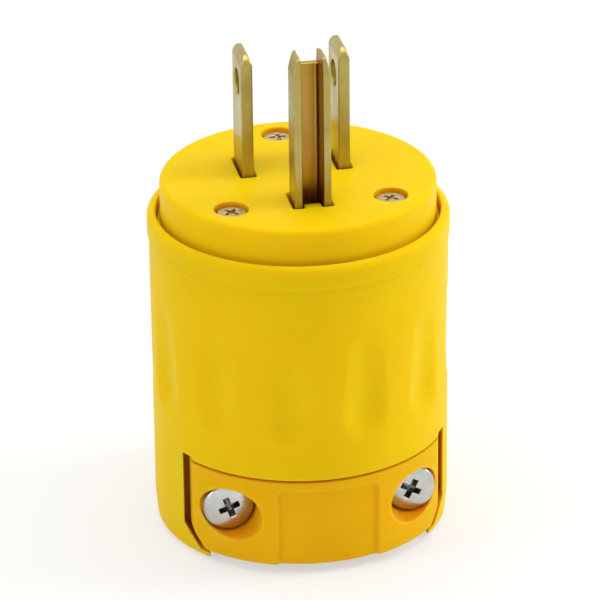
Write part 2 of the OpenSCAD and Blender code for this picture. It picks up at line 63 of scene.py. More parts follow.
# Cord end and clamp bar
CORD_R, CORD_ROUND = 8.3, 0.6
BAR_HALF, BAR_Z0, BAR_Z1, BAR_BACK = 16.45, 1.1, 13.4, 8.0
BAR_ROUND, BAR_CORNER, BAR_EDGE = 0.3, 0.4, 0.2
CORNER_H, CORNER_W = 2.2, 1.3
POCKET_HALF, POCKET_LOW, POCKET_Z, POCKET_Y = BAR_HALF + 0.85, 3.76, BAR_Z1 + 0.25, 4.5
POCKET_ROUND, POCKET_EDGE = 0.3, 0.22
SLOT_Z, FOOT_X, FOOT_H = 14.1, 14.55, 0.8
JAW_R, JAW_HALF, JAW_Y, JAW_PLAY, JAW_LAP = 8.85, 7.2, 2.77, 0.3, 1.0
JAW_FILLET, JAW_EDGE = 0.2, 0.25
RIDGES, RIDGE_H, RIDGE_FLAT = 3, 0.5, 0.1
PANEL_HALF, PANEL_Z, PANEL_DEEP = 6.5, 12.0, 0.4
PANEL_CORNER, PANEL_FOOT, PANEL_EDGE = 0.8, 0.3, 0.4
CLAMP_X, CLAMP_Z, CLAMP_SEAT = 12.1, 7.7, 11.3
CLAMP_BORE_R, CLAMP_BORE_EDGE, CLAMP_HOLE_R, CLAMP_HOLE_END = 3.55, 0.2, 1.9, 8.0

# Blades
BLADE_X, BLADE_Y, BLADE_W, BLADE_T = 6.35, 3.9, 6.35, 1.52
BLADE_LOW, BLADE_TIP, BLADE_EDGE = 43.3, 64.8, 0.18
TIP_CORNER, TIP_THIN, TIP_LEN = 1.5, 0.42, 1.3
EYE_Z, EYE_R, EYE_EDGE = 60.4, 1.75, 0.15
TAB_IN, TAB_OUT, TAB_LOW, TAB_TOP, TAB_BEND = 3.54, 5.06, 30.75, 44.82, 0.3
EAR_HALF, EAR_TOP, TAB_HOLE_Z, TAB_HOLE_R = 4.3, 39.65, 35.05, 2.2

# Ground pin
PIN_Y, PIN_W, PIN_T, PIN_LOW, PIN_TIP = -7.96, 4.75, 1.0, 45.05, 68.3
PIN_BACK_ROUND, PIN_LIP_ROUND, PIN_END_ROUND = 1.0, 0.25, 0.2
PIN_INNER_ROUND, PIN_EDGE = 0.35, 0.18
PIN_THIN, PIN_THIN_LEN, PIN_NOTCH, NOTCH_EDGE = 0.45, 2.2, 1.9, 0.15
PIN_TAB_Y, PIN_BEND, NECK_HALF, NECK_TOP = -4.19, 0.2, 1.37, 46.0

# Screws
HEAD_ROUND, HEAD_LIFT = 0.3, 0.05
RECESS_LEAN, RECESS_DRAFT, RECESS_FOOT, RECESS_LIP = 0.55, 0.08, 0.15, 0.14
THREAD_PITCH, THREAD_DEEP, THREAD_SLOPE, THREAD_FLAT = 1.3, 0.28, 2.2, 0.15
THREAD_START, THREAD_FULL = 1.0, 3.0
POINT_SLOPE, POINT_R, POINT_ROUND = 1.2, 0.9, 0.2
SHANK_LAP, SHANK_EDGE, NECK_FILLET = 0.5, 0.1, 0.25
CLAMP_TURNS = ((-1, 20), (1, 62))

SIDES = (-1, 1)


# Distance fields: negative inside a solid, in millimetres
def both(a, b, r=0.0):
    """Overlap of two solids with an edge rounded to r."""
    return np.minimum(-r, np.maximum(a, b)) + np.hypot(np.maximum(r + a, 0), np.maximum(r + b, 0))


def cut(a, b, r=0.0):
    """First solid less the second, with a rounded edge."""
    return both(a, -b, r)


def join(a, b, r=0.0):
    """Two solids together with a fillet of r."""
    return np.maximum(r, np.minimum(a, b)) - np.hypot(np.maximum(r - a, 0), np.maximum(r - b, 0))


def slab(x, low, high):
    """Space between two parallel planes."""
    return np.maximum(low - x, x - high)


def smooth(t):
    """Soft step from 0 to 1."""
    t = np.clip(t, 0, 1)
    return t * t * (3 - 2 * t)


def wall(x, y, z):
    """Distance to the outer wall of the body, without its ends."""
    tail = np.clip(1 - z / TAPER_H, 0, 1) ** TAPER_CURVE
    band = smooth((z - BODY_LEN + RIM_H + RIM_RUN / 2) / RIM_RUN)
    return np.hypot(x, y) - BODY_R + (BODY_R - REAR_R) * tail - RIM_STEP * band


def flute(x, y, z):
    """Distance to the nearest finger flute, a round bar with round ends that leans outwards."""
    pitch = 2 * math.pi / FLUTES
    turn = np.mod(np.arctan2(y, x), pitch) - pitch / 2
    r = np.hypot(x, y)
    lean = math.atan2(FLUTE_DEEP - FLUTE_SHALLOW, FLUTE_LEN)
    u = r * np.cos(turn) - (BODY_R + FLUTE_R - FLUTE_DEEP)
    w = z - FLUTE_Z
    along = np.clip(u * math.sin(lean) + w * math.cos(lean), 0, FLUTE_LEN)
    gap = np.hypot(u - along * math.sin(lean), w - along * math.cos(lean))
    return np.hypot(gap, r * np.sin(turn)) - FLUTE_R


def at_ring(x, y, angle):
    """Distance from the axis of the face screw at an angle from the front."""
    a = math.radians(angle)
    return np.hypot(x - SCREW_RING * math.sin(a), y + SCREW_RING * math.cos(a))


def corner_past(x, z):
    """Distance past the sloping cut of the lower corners, which passes through the origin."""
    return (x * CORNER_H - z * CORNER_W) / math.hypot(CORNER_H, CORNER_W)


def pocket(x, y, z):
    """Pocket of the clamp bar: cut lower corners with feet, and slots at its ends that rise above it."""
    a = np.abs(x)
    corner = np.maximum(corner_past(a - POCKET_HALF, z - POCKET_LOW), FOOT_H - z)
    corner = np.minimum(corner, a - FOOT_X)
    top = np.minimum(z - POCKET_Z, np.maximum(z - SLOT_Z, BAR_HALF - a))
    front = np.maximum(np.maximum(a - POCKET_HALF, corner), top)
    channel = np.maximum(np.maximum(a - JAW_HALF - JAW_PLAY, y), z - POCKET_Z)
    return np.minimum(both(front, y + POCKET_Y, POCKET_ROUND), channel)


def bar_front(x, z):
    """Front outline of the clamp bar, with cut lower corners."""
    a = np.abs(x)
    corner = corner_past(a - BAR_HALF, z - BAR_Z0 - CORNER_H)
    return both(both(a - BAR_HALF, corner, BAR_CORNER), slab(z, BAR_Z0, BAR_Z1), BAR_EDGE)


def housing(x, y, z):
    """Body with flutes, rim groove, wiring room with screw posts, cord hole and clamp pocket."""
    r = np.hypot(x, y)
    d = both(wall(x, y, z), z - BODY_LEN, RIM_ROUND)
    d = both(d, -z, REAR_ROUND)
    d = cut(d, flute(x, y, z), FLUTE_SOFT)
    room = both(r - ROOM_R, FLOOR_Z - z)
    for angle in SCREW_ANGLES:
        post = both(at_ring(x, y, angle) - POST_R, z - POST_Z, POST_ROUND)
        room = cut(room, post)
    room = np.minimum(room, both(r - GROOVE_R, LEDGE_Z - z))
    d = cut(d, room, ROOM_ROUND)
    d = cut(d, r - CORD_R, CORD_ROUND)
    d = cut(d, pocket(x, y, z), POCKET_EDGE)
    for s in SIDES:
        hole = np.hypot(x - s * CLAMP_X, z - CLAMP_Z) - CLAMP_HOLE_R
        d = cut(d, np.maximum(hole, y - CLAMP_HOLE_END))
    return d


def face(x, y, z):
    """Disc with a flange, hollow from below, with screw bores, blade slots and the opening of the pin."""
    r = np.hypot(x, y)
    d = both(r - FACE_R, slab(z, LEDGE_Z, FACE_TOP), FACE_ROUND)
    d = np.minimum(d, both(r - FLANGE_R, slab(z, LEDGE_Z, FLANGE_Z), FLANGE_ROUND))
    cup = np.maximum(r - CUP_R, z - CUP_Z)
    for angle in SCREW_ANGLES:
        cup = cut(cup, np.maximum(at_ring(x, y, angle) - POST_R, LEDGE_Z + FACE_POST_GAP - z))
    d = cut(d, cup)
    for angle in SCREW_ANGLES:
        q = at_ring(x, y, angle)
        d = cut(d, np.maximum(q - BORE_R, BORE_SEAT - z), BORE_EDGE)
        d = cut(d, q - FACE_HOLE_R)
    for s in SIDES:
        slot = both(np.abs(x - s * BLADE_X) - BLADE_T / 2 - SLOT_PLAY,
                    np.abs(y - BLADE_Y) - BLADE_W / 2 - SLOT_PLAY, SLOT_CORNER)
        d = cut(d, slot, SLOT_EDGE)
    half = PIN_W / 2 + SLOT_PLAY
    hole = both(np.abs(x) - half, np.abs(y - PIN_Y) - half, PIN_HOLE_CORNER)
    tongue = both(np.abs(x) - PIN_W / 2 + PIN_T + SLOT_PLAY, y - PIN_Y + half - TONGUE, SLOT_CORNER)
    return cut(d, cut(hole, tongue), SLOT_EDGE)


def clamp(x, y, z):
    """Clamp bar with its jaw, grip ridges, screw bores and sunk front panel."""
    r = np.hypot(x, y)
    d = both(both(wall(x, y, z), -z, REAR_ROUND), bar_front(x, z), BAR_ROUND)
    d = both(d, y + BAR_BACK, BAR_ROUND)
    jaw = both(np.abs(x) - JAW_HALF, slab(y, -BAR_BACK - JAW_LAP, -JAW_Y), BAR_ROUND)
    d = join(d, both(jaw, slab(z, BAR_Z0, BAR_Z1), BAR_ROUND), JAW_FILLET)
    step = (BAR_Z1 - BAR_Z0) / (RIDGES + 1)
    comb = np.abs(np.mod(z - BAR_Z0 + step / 2, step) - step / 2)
    ridged = slab(z, BAR_Z0 + step / 2, BAR_Z1 - step / 2) < 0
    bore = JAW_R - np.where(ridged, np.clip(RIDGE_H + RIDGE_FLAT - comb, 0, RIDGE_H), 0)
    d = cut(d, r - bore, JAW_EDGE)
    for s in SIDES:
        q = np.hypot(x - s * CLAMP_X, z - CLAMP_Z)
        d = cut(d, np.maximum(q - CLAMP_BORE_R, y + CLAMP_SEAT), CLAMP_BORE_EDGE)
        d = cut(d, q - CLAMP_HOLE_R)
    panel = both(np.abs(x) - PANEL_HALF, z - PANEL_Z, PANEL_CORNER)
    panel = both(panel, -PANEL_DEEP - wall(x, y, z), PANEL_FOOT)
    return cut(d, np.maximum(panel, y), PANEL_EDGE)


def closed_rear(x, y, z):
    """Housing and clamp bar together, for the painted shade and glow in the gaps between them."""
    return np.minimum(housing(x, y, z), clamp(x, y, z))


def blade(x, y, z):
    """Blade with its flange and terminal tab; x runs outwards from the middle of the blade."""
    v = np.abs(y) - BLADE_W / 2
    thin = TIP_THIN * np.clip((z - BLADE_TIP + TIP_LEN) / TIP_LEN, 0, 1)
    strip = both(np.abs(x) - BLADE_T / 2 + thin, v, BLADE_EDGE)
    d = both(strip, both(slab(z, BLADE_LOW, BLADE_TIP), v, TIP_CORNER), BLADE_EDGE)
    d = cut(d, np.hypot(y, z - EYE_Z) - EYE_R, EYE_EDGE)
    flange = np.maximum(np.maximum(slab(x, -BLADE_T / 2, TAB_OUT), v), slab(z, BLADE_LOW, TAB_TOP))
    sheet = slab(x, TAB_IN, TAB_OUT)
    tab = np.maximum(np.maximum(sheet, v), slab(z, TAB_LOW, TAB_TOP))
    ear = np.maximum(np.maximum(sheet, np.abs(y) - EAR_HALF), slab(z, TAB_LOW, EAR_TOP))
    tab = cut(np.minimum(tab, ear), np.hypot(y, z - TAB_HOLE_Z) - TAB_HOLE_R)
    return join(d, join(flange, tab, TAB_BEND), TAB_BEND)


def ground(x, y, z):
    """Channel of the ground pin with its flange and tab; y is measured from the middle of the channel."""
    half = PIN_W / 2
    a = np.abs(x)
    thin = PIN_THIN * np.clip((z - PIN_TIP + PIN_THIN_LEN) / PIN_THIN_LEN, 0, 1)
    out = both(a - half + thin, y - half + thin, PIN_BACK_ROUND)
    out = both(out, -y - half + thin, PIN_LIP_ROUND)
    out = both(out, slab(z, PIN_LOW, PIN_TIP), PIN_END_ROUND)
    inner = both(a - half + PIN_T, y - half + PIN_T, PIN_INNER_ROUND)
    d = cut(out, inner, PIN_EDGE)
    notch = np.maximum(np.maximum(a - half + PIN_T, -y), PIN_TIP - PIN_NOTCH - z)
    d = cut(d, notch, NOTCH_EDGE)
    flange_low = TAB_TOP - PIN_T
    tail = np.maximum(a - half, np.maximum(slab(y, PIN_TAB_Y, half), slab(z, flange_low, TAB_TOP)))
    neck = np.maximum(a - NECK_HALF, np.maximum(slab(y, half - PIN_T, half), slab(z, flange_low, NECK_TOP)))
    sheet = slab(y, PIN_TAB_Y, PIN_TAB_Y + PIN_T)
    tab = np.maximum(a - half, np.maximum(sheet, slab(z, TAB_LOW, TAB_TOP)))
    ear = np.maximum(a - EAR_HALF, np.maximum(sheet, slab(z, TAB_LOW, EAR_TOP)))
    tab = cut(np.minimum(tab, ear), np.hypot(x, z - TAB_HOLE_Z) - TAB_HOLE_R)
    return np.minimum(d, np.minimum(join(tail, tab, PIN_BEND), neck))


def screw(head_r, head_h, dome, shank_r, length, reach, width, deep):
    """Screw along +z with its head on z = 0: a domed head with a cross recess and a threaded shank."""
    ball = (head_r ** 2 + dome ** 2) / (2 * dome)

    def field(x, y, z):
        r = np.hypot(x, y)
        d = both(r - head_r, slab(z, 0, head_h), HEAD_ROUND)
        d = both(d, np.hypot(r, z - head_h + ball) - ball, HEAD_ROUND)
        sink = head_h - z
        arm = reach / 2 - RECESS_LEAN * np.clip(sink, 0, deep)
        half = width / 2 - RECESS_DRAFT * np.clip(sink, 0, deep)
        cross = np.minimum(np.maximum(np.abs(x) - arm, np.abs(y) - half),
                           np.maximum(np.abs(y) - arm, np.abs(x) - half))
        d = cut(d, both(cross, sink - deep, RECESS_FOOT), RECESS_LIP)
        wave = np.mod(z / THREAD_PITCH - np.arctan2(y, x) / (2 * math.pi), 1)
        groove = smooth(np.abs(wave - 0.5) * THREAD_SLOPE - THREAD_FLAT)
        begun = smooth((-z - THREAD_START) / (THREAD_FULL - THREAD_START))
        core = r - shank_r + THREAD_DEEP * groove * begun
        point = r - (length + z) * POINT_SLOPE - POINT_R
        shank = both(both(core, point, POINT_ROUND), slab(z, -length, SHANK_LAP), SHANK_EDGE)
        return join(d, shank, NECK_FILLET)

    return field


# Mesh of a distance field on a grid whose levels are closer where the form turns
SLOPE_STEP = 0.01
SETTLE_ROUNDS, SETTLE_REACH = 4, 0.25


def levels(*marks):
    """Level values from start, step, end, step, end and so on."""
    out = []
    for start, step, end in zip(marks[:-2:2], marks[1:-1:2], marks[2::2]):
        out.append(np.linspace(start, end, max(int(round((end - start) / step)), 1), endpoint=False))
    return np.concatenate(out + [[marks[-1]]])


def turn_levels(step, fine_from=0.0, fine_to=0.0, fine=1.0):
    """Angles round the axis in degrees, finer between two angles on both sides."""
    half = levels(0, step, fine_from, fine, fine_to, step, 180) if fine_to else levels(0, step, 180)
    return np.radians(np.concatenate([-half[:0:-1], half[:-1], [half[-1]]])[1:])


def polar(r, t, z):
    """Radius, angle from the front and height to x, y and z."""
    return r * np.sin(t), -r * np.cos(t), z


def straight(x, y, z):
    """Grid that already lies along x, y and z."""
    return x, y, z


def slope(field, p):
    """Unit vectors along which the field grows fastest."""
    g = np.empty_like(p)
    for i in range(3):
        q, s = p.copy(), p.copy()
        q[:, i] += SLOPE_STEP
        s[:, i] -= SLOPE_STEP
        g[:, i] = field(*q.T) - field(*s.T)
    return g / np.maximum(np.linalg.norm(g, axis=1, keepdims=True), 1e-9)


def skin(field, grid, place=straight, closed=False):
    """Vertices, quads and normals of the surface where the field is zero."""
    grid = [np.asarray(g, float) for g in grid]
    if closed:
        t = grid[1]
        grid[1] = np.concatenate([[t[-1] - 2 * math.pi], t, [t[0] + 2 * math.pi]])
    d = field(*place(*np.meshgrid(*grid, indexing="ij")))
    inside = d < 0
    n = [len(g) - 1 for g in grid]
    corners = [(i, j, k) for i in (0, 1) for j in (0, 1) for k in (0, 1)]
    part = [slice(0, -1), slice(1, None)]
    count = sum(inside[part[i], part[j], part[k]].astype(int) for i, j, k in corners)
    active = (count > 0) & (count < len(corners))
    if closed:
        active[:, 0, :] = False
    cell = np.nonzero(active)
    total, hits = np.zeros((len(cell[0]), 3)), np.zeros(len(cell[0]))
    for a in corners:
        for axis in range(3):
            if a[axis]:
                continue
            b = tuple(v + (i == axis) for i, v in enumerate(a))
            ia, ib = [tuple(c + o for c, o in zip(cell, end)) for end in (a, b)]
            va, vb = d[ia], d[ib]
            met = (va < 0) != (vb < 0)
            t = np.where(met, va / np.where(met, va - vb, 1), 0)
            pa = np.stack([g[i] for g, i in zip(grid, ia)], -1)
            pb = np.stack([g[i] for g, i in zip(grid, ib)], -1)
            total += met[:, None] * (pa + (pb - pa) * t[:, None])
            hits += met
    p = np.stack(place(*(total / hits[:, None]).T), -1)
    for _ in range(SETTLE_ROUNDS):
        p -= np.clip(field(*p.T), -SETTLE_REACH, SETTLE_REACH)[:, None] * slope(field, p)
    ids = -np.ones(n, int)
    ids[cell] = np.arange(len(p))
    if closed:
        ids[:, 0, :] = ids[:, -1, :]
    quads = []
    for axis in range(3):
        s, c = np.moveaxis(inside, axis, 0), np.moveaxis(ids, axis, 0)
        change = (s[1:] != s[:-1])[:, 1:-1, 1:-1]
        if closed and axis == 1:
            change[0] = False
        i, j, k = np.nonzero(change)
        quads.append(np.stack([c[i, j, k], c[i, j + 1, k], c[i, j + 1, k + 1], c[i, j, k + 1]], -1))
    quads = np.concatenate(quads)
    normal = slope(field, p)
    across = np.cross(p[quads[:, 2]] - p[quads[:, 0]], p[quads[:, 3]] - p[quads[:, 1]])
    turned = np.einsum("ij,ij->i", across, normal[quads].sum(1)) < 0
    quads[turned] = quads[turned][:, ::-1]
    return p, quads, normal


def tone(field, p, normal, reach):
    """How far each vertex lies on an outer edge, in a fold and in a bore or slot, from 0 to 1."""
    fine, wide = reach
    edge = np.clip(1 + field(*(p - normal * fine).T) / fine, 0, 1)
    fold = np.clip(1 - field(*(p + normal * fine).T) / fine, 0, 1)
    cave = np.clip(1 - field(*(p + normal * wide).T) / wide, 0, 1)
    return edge, fold, cave


def piece(name, node, shape, places, tones, material):
    """One object from copies of a skin, each put in place by a matrix; it stands for a node."""
    p, quads, normal = shape
    marks = tone(tones[0], p, normal, tones[1])
    points, faces, normals = [], [], []
    for i, m in enumerate(places):
        turn = np.array(m.to_3x3())
        points.append(p @ turn.T + np.array(m.translation))
        normals.append(normal @ turn.T)
        mirrored = m.to_3x3().determinant() < 0
        faces.append((quads[:, ::-1] if mirrored else quads) + i * len(p))
    mesh = bpy.data.meshes.new(name)
    mesh.from_pydata((np.concatenate(points) * MM).tolist(), [], np.concatenate(faces).tolist())
    bm = bmesh.new()
    bm.from_mesh(mesh)
    # Grids round an axis start beside it, so small holes at the axis are closed here
    rim = [e for e in bm.edges if e.is_boundary]
    if rim:
        bmesh.ops.holes_fill(bm, edges=rim, sides=0)
    bm.to_mesh(mesh)
    bm.free()
    for key, values in zip(("edge", "fold", "cave"), marks):
        attribute = mesh.attributes.new(key, "FLOAT", "POINT")
        attribute.data.foreach_set("value", np.tile(values, len(places)).astype(np.float32))
    mesh.shade_smooth()
    mesh.normals_split_custom_set_from_vertices(np.concatenate(normals).tolist())
    mesh.materials.append(material)
    ob = bpy.data.objects.new(name, mesh)
    bpy.context.scene.collection.objects.link(ob)
    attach(ob, "root")
    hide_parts(node)


# Materials, with noise scales per metre and bump depths in metres
class Paint:
    """Small helper that wires one node material."""

    def __init__(self, name):
        self.material = bpy.data.materials.new(name)
        self.material.use_nodes = True
        self.tree = self.material.node_tree
        self.shader = self.tree.nodes["Principled BSDF"]
        self.where = self.tree.nodes.new("ShaderNodeTexCoord").outputs["Object"]

    def link(self, value, socket):
        """Feed a socket from another socket or with a plain value."""
        if isinstance(value, bpy.types.NodeSocket):
            self.tree.links.new(value, socket)
        else:
            socket.default_value = value

    def noise(self, scale, detail=3.0, rough=0.55, stretch=(1, 1, 1), warp=0.0):
        """Noise that is fixed to the object."""
        place = self.tree.nodes.new("ShaderNodeMapping")
        place.inputs["Scale"].default_value = stretch
        self.tree.links.new(self.where, place.inputs["Vector"])
        n = self.tree.nodes.new("ShaderNodeTexNoise")
        self.tree.links.new(place.outputs["Vector"], n.inputs["Vector"])
        for key, value in (("Scale", scale), ("Detail", detail), ("Roughness", rough), ("Distortion", warp)):
            n.inputs[key].default_value = value
        return n.outputs["Fac"]

    def span(self, value, low, high, to_low, to_high):
        """Value from one range to another, held at its ends."""
        n = self.tree.nodes.new("ShaderNodeMapRange")
        self.link(value, n.inputs["Value"])
        for key, end in (("From Min", low), ("From Max", high), ("To Min", to_low), ("To Max", to_high)):
            n.inputs[key].default_value = end
        return n.outputs["Result"]

    def mix(self, share, a, b):
        """Colour a with a share of colour b."""
        n = self.tree.nodes.new("ShaderNodeMix")
        n.data_type = "RGBA"
        sockets = {s.identifier: s for s in n.inputs}
        self.link(share, sockets["Factor_Float"])
        self.link(a, sockets["A_Color"])
        self.link(b, sockets["B_Color"])
        return next(s for s in n.outputs if s.identifier == "Result_Color")

    def sum_up(self, kind, a, b):
        """One step of arithmetic with two values."""
        n = self.tree.nodes.new("ShaderNodeMath")
        n.operation = kind
        self.link(a, n.inputs[0])
        self.link(b, n.inputs[1])
        return n.outputs["Value"]

    def times(self, a, b):
        return self.sum_up("MULTIPLY", a, b)

    def plus(self, a, b):
        return self.sum_up("ADD", a, b)

    def mark(self, key):
        """Tone that the vertices carry: edge, fold or cave."""
        n = self.tree.nodes.new("ShaderNodeAttribute")
        n.attribute_name = key
        return n.outputs["Fac"]

    def bump(self, height, depth, strength=1.0, below=None):
        """Normal with fine relief, on top of another relief if there is one."""
        n = self.tree.nodes.new("ShaderNodeBump")
        n.inputs["Strength"].default_value = strength
        n.inputs["Distance"].default_value = depth
        self.link(height, n.inputs["Height"])
        if below is not None:
            self.tree.links.new(below, n.inputs["Normal"])
        return n.outputs["Normal"]

    def done(self, color, roughness, normal, **plain):
        """Material with its shader fed; plain values go to the sockets of those names."""
        self.link(color, self.shader.inputs["Base Color"])
        self.link(roughness, self.shader.inputs["Roughness"])
        self.link(normal, self.shader.inputs["Normal"])
        for key, value in plain.items():
            self.shader.inputs[key.replace("_", " ")].default_value = value
        return self.material


def moulded(name, base, deep, worn, rough, shade_strength=0.0, glow_strength=0.0):
    """Moulded plastic: cloudy colour, fine grain, scuffs, painted shade in folds and hollows, a painted glow
    in narrow gaps and paler rubbed edges.
    """
    m = Paint(name)
    cloud = m.noise(scale=95, detail=3)
    fleck = m.noise(scale=1500, detail=2)
    tint = m.mix(m.span(cloud, 0.3, 0.7, 0, 0.55), base, deep)
    tint = m.mix(m.span(fleck, 0.45, 0.75, 0, 0.16), tint, deep)
    scuff = m.noise(scale=420, detail=5, rough=0.7, stretch=(1, 1, 0.18), warp=0.4)
    scratch = m.span(scuff, 0.62, 0.76, 0, 1)
    tint = m.mix(m.times(scratch, 0.16), tint, worn)
    if shade_strength:
        # Painted shade: creases and the insides of bores, slots and gaps are mixed towards darker colours
        shade = (deep[0] * 0.85, deep[1] * 0.6, deep[2], 1)
        painted_hollow_shade = (deep[0] * 0.95, deep[1] * 0.38, deep[2], 1)
        painted_glow = (1.0, deep[1] * 0.85, deep[2], 1)
        tint = m.mix(m.times(m.mark("fold"), 0.3), tint, shade)
        tint = m.mix(m.span(m.mark("cave"), 0.15, 1, 0, shade_strength), tint, painted_hollow_shade)
        # Painted glow: the deepest narrow gaps are lifted to a brighter orange, standing in for light passing
        # through the plastic
        tint = m.mix(m.span(m.mark("cave"), 0.8, 1, 0, glow_strength), tint, painted_glow)
        rub = m.times(m.mark("edge"), m.span(m.noise(scale=260), 0.35, 0.7, 0.1, 0.9))
        tint = m.mix(m.times(rub, 0.5), tint, worn)
    gloss = m.span(cloud, 0.2, 0.8, rough - 0.05, rough + 0.06)
    gloss = m.plus(gloss, m.times(scratch, 0.1))
    grain = m.bump(m.noise(scale=3600, detail=2), depth=0.00003, strength=0.55)
    swell = m.bump(m.noise(scale=160, detail=1), depth=0.00012, strength=0.35, below=grain)
    return m.done(tint, gloss, swell, Specular_IOR_Level=0.03, Subsurface_Weight=0.6,
                  Subsurface_Radius=(1, 0.25, 0.02), Subsurface_Scale=0.0025)


def metal(name, bright, dull, stain_and_shade, rough, stretch=(1, 1, 1), marked=True):
    """Stamped or plated metal: drawn lines, dull clouds, stains, painted shade in folds and hollows, and
    rubbed edges.
    """
    m = Paint(name)
    cloud = m.noise(scale=190, detail=4, rough=0.6)
    line = m.noise(scale=2600, detail=3, rough=0.6, stretch=stretch)
    spot = m.noise(scale=620, detail=4, rough=0.65)
    tint = m.mix(m.span(cloud, 0.35, 0.7, 0, 0.8), bright, dull)
    tint = m.mix(m.times(m.span(line, 0.35, 0.7, 0, 1), 0.28), tint, dull)
    tint = m.mix(m.times(m.span(spot, 0.6, 0.74, 0, 1), 0.35), tint, stain_and_shade)
    if marked:
        # Painted shade: folds, bores and recesses are darkened towards the stain colour
        tint = m.mix(m.times(m.mark("fold"), 0.5), tint, stain_and_shade)
        tint = m.mix(m.span(m.mark("cave"), 0.1, 0.5, 0, 0.75), tint, stain_and_shade)
        tint = m.mix(m.times(m.mark("edge"), 0.4), tint, bright)
    gloss = m.span(cloud, 0.3, 0.75, rough - 0.05, rough + 0.1)
    gloss = m.plus(gloss, m.span(line, 0.3, 0.7, -0.04, 0.05))
    drawn = m.bump(line, depth=0.00002, strength=0.5)
    return m.done(tint, gloss, m.bump(spot, depth=0.00002, strength=0.2, below=drawn), Metallic=1.0)


YELLOW = moulded("body_plastic", base=(0.92, 0.605, 0.004, 1), deep=(0.88, 0.555, 0.003, 1),
                 worn=(0.95, 0.68, 0.05, 1), rough=0.4, shade_strength=0.12, glow_strength=0.85)
ORANGE = moulded("clamp_plastic", base=(0.90, 0.51, 0.006, 1), deep=(0.84, 0.45, 0.004, 1),
                 worn=(0.94, 0.64, 0.06, 1), rough=0.42, shade_strength=0.42, glow_strength=0.8)
DARK = moulded("carrier_plastic", base=(0.03, 0.03, 0.033, 1), deep=(0.018, 0.018, 0.02, 1),
               worn=(0.09, 0.09, 0.09, 1), rough=0.5)
BRASS = metal("blade_metal", bright=(0.46, 0.385, 0.12, 1), dull=(0.365, 0.28, 0.06, 1),
              stain_and_shade=(0.46, 0.24, 0.03, 1), rough=0.3, stretch=(1, 1, 0.05))
SCREW_BRASS = metal("brass_screw_metal", bright=(0.83, 0.62, 0.26, 1), dull=(0.66, 0.46, 0.16, 1),
                    stain_and_shade=(0.3, 0.19, 0.06, 1), rough=0.26, marked=False)
NICKEL = metal("nickel_screw_metal", bright=(0.72, 0.70, 0.66, 1), dull=(0.56, 0.55, 0.52, 1),
               stain_and_shade=(0.3, 0.29, 0.27, 1), rough=0.25, marked=False)
GREEN = metal("green_screw_metal", bright=(0.10, 0.34, 0.14, 1), dull=(0.06, 0.24, 0.09, 1),
              stain_and_shade=(0.03, 0.1, 0.04, 1), rough=0.32, marked=False)
# Zinc of the face screws, painted darker and warmer than the clamp screws: painted shade of their bores and
# painted reflection of the yellow walls around them
SHADED_FACE_ZINC = metal("face_screw_shaded_metal", bright=(0.56, 0.45, 0.22, 1), dull=(0.43, 0.32, 0.14, 1),
                  stain_and_shade=(0.3, 0.2, 0.08, 1), rough=0.36)
ZINC = metal("zinc_screw_metal", bright=(0.62, 0.64, 0.65, 1), dull=(0.38, 0.4, 0.39, 1),
             stain_and_shade=(0.07, 0.07, 0.06, 1), rough=0.24)

# Inner nodes keep their meshes and get a finished material
for node, paint in (("terminal_carrier", DARK), ("line_terminal_screw", SCREW_BRASS),
                    ("neutral_terminal_screw", NICKEL), ("ground_terminal_screw", GREEN),
                    ("line_pressure_plate", SCREW_BRASS), ("neutral_pressure_plate", SCREW_BRASS),
                    ("ground_pressure_plate", SCREW_BRASS)):
    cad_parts[node].material_slots[0].material = paint

# How far edges and folds reach, and bores and slots, on each kind of piece
BODY_REACH, BAR_REACH = (0.5, 5.0), (0.5, 7.0)
BLADE_REACH, PIN_REACH, SCREW_REACH = (0.25, 1.2), (0.25, 2.4), (0.25, 1.0)
HERE = [Matrix.Identity(4)]
AXIS_R = 0.02

# Moulded pieces
housing_grid = (levels(7.9, 0.25, 9.2, 0.6, 15.8, 0.25, 20.2),
                turn_levels(1.6, 47.5, 65.5, 0.38),
                levels(-0.4, 0.2, 0.4, 0.14, 4.2, 0.6, 13.0, 0.12, 14.6, 0.3, 17.0,
                       0.6, 39.4, 0.18, 44.4))
piece("housing_shell", "housing", skin(housing, housing_grid, polar, True),
      HERE, (closed_rear, BODY_REACH), YELLOW)
face_grid = (levels(AXIS_R, 0.4, 2.0, 0.28, 16.6, 0.16, 18.9),
             turn_levels(1.2),
             levels(39.7, 0.2, 40.6, 0.5, 42.2, 0.2, 45.6, 0.4, 47.0, 0.16, 48.6))
piece("face_disc", "face", skin(face, face_grid, polar, True),
      HERE, (face, BODY_REACH), YELLOW)
clamp_grid = (levels(8.0, 0.2, 19.9), np.radians(levels(-78, 0.52, 78)), levels(0.7, 0.16, 13.8))
piece("clamp_bar", "cord_clamp", skin(clamp, clamp_grid, polar),
      HERE, (closed_rear, BAR_REACH), ORANGE)

# Blades and ground pin
blade_grid = (levels(-1.2, 0.12, 1.2, 0.4, 3.2, 0.14, 5.5),
              levels(-4.8, 0.18, 4.8),
              levels(30.3, 0.4, 43.0, 0.14, 45.4, 0.5, 57.6, 0.16, 65.2))
blade_skin = skin(blade, blade_grid)
for name, node, side in (("line_blade_strip", "line_blade", -1), ("neutral_blade_strip", "neutral_blade", 1)):
    place = Matrix.Translation((side * BLADE_X, BLADE_Y, 0)) @ Matrix.Diagonal((side, 1, 1, 1))
    piece(name, node, blade_skin, [place], (blade, BLADE_REACH), BRASS)
pin_grid = (levels(-4.7, 0.18, 4.7),
            levels(-4.6, 0.16, 2.8),
            levels(30.3, 0.4, 43.4, 0.16, 46.6, 0.5, 65.4, 0.16, 68.7))
piece("ground_channel", "ground_pin", skin(ground, pin_grid),
      [Matrix.Translation((0, PIN_Y, 0))], (ground, PIN_REACH), BRASS)

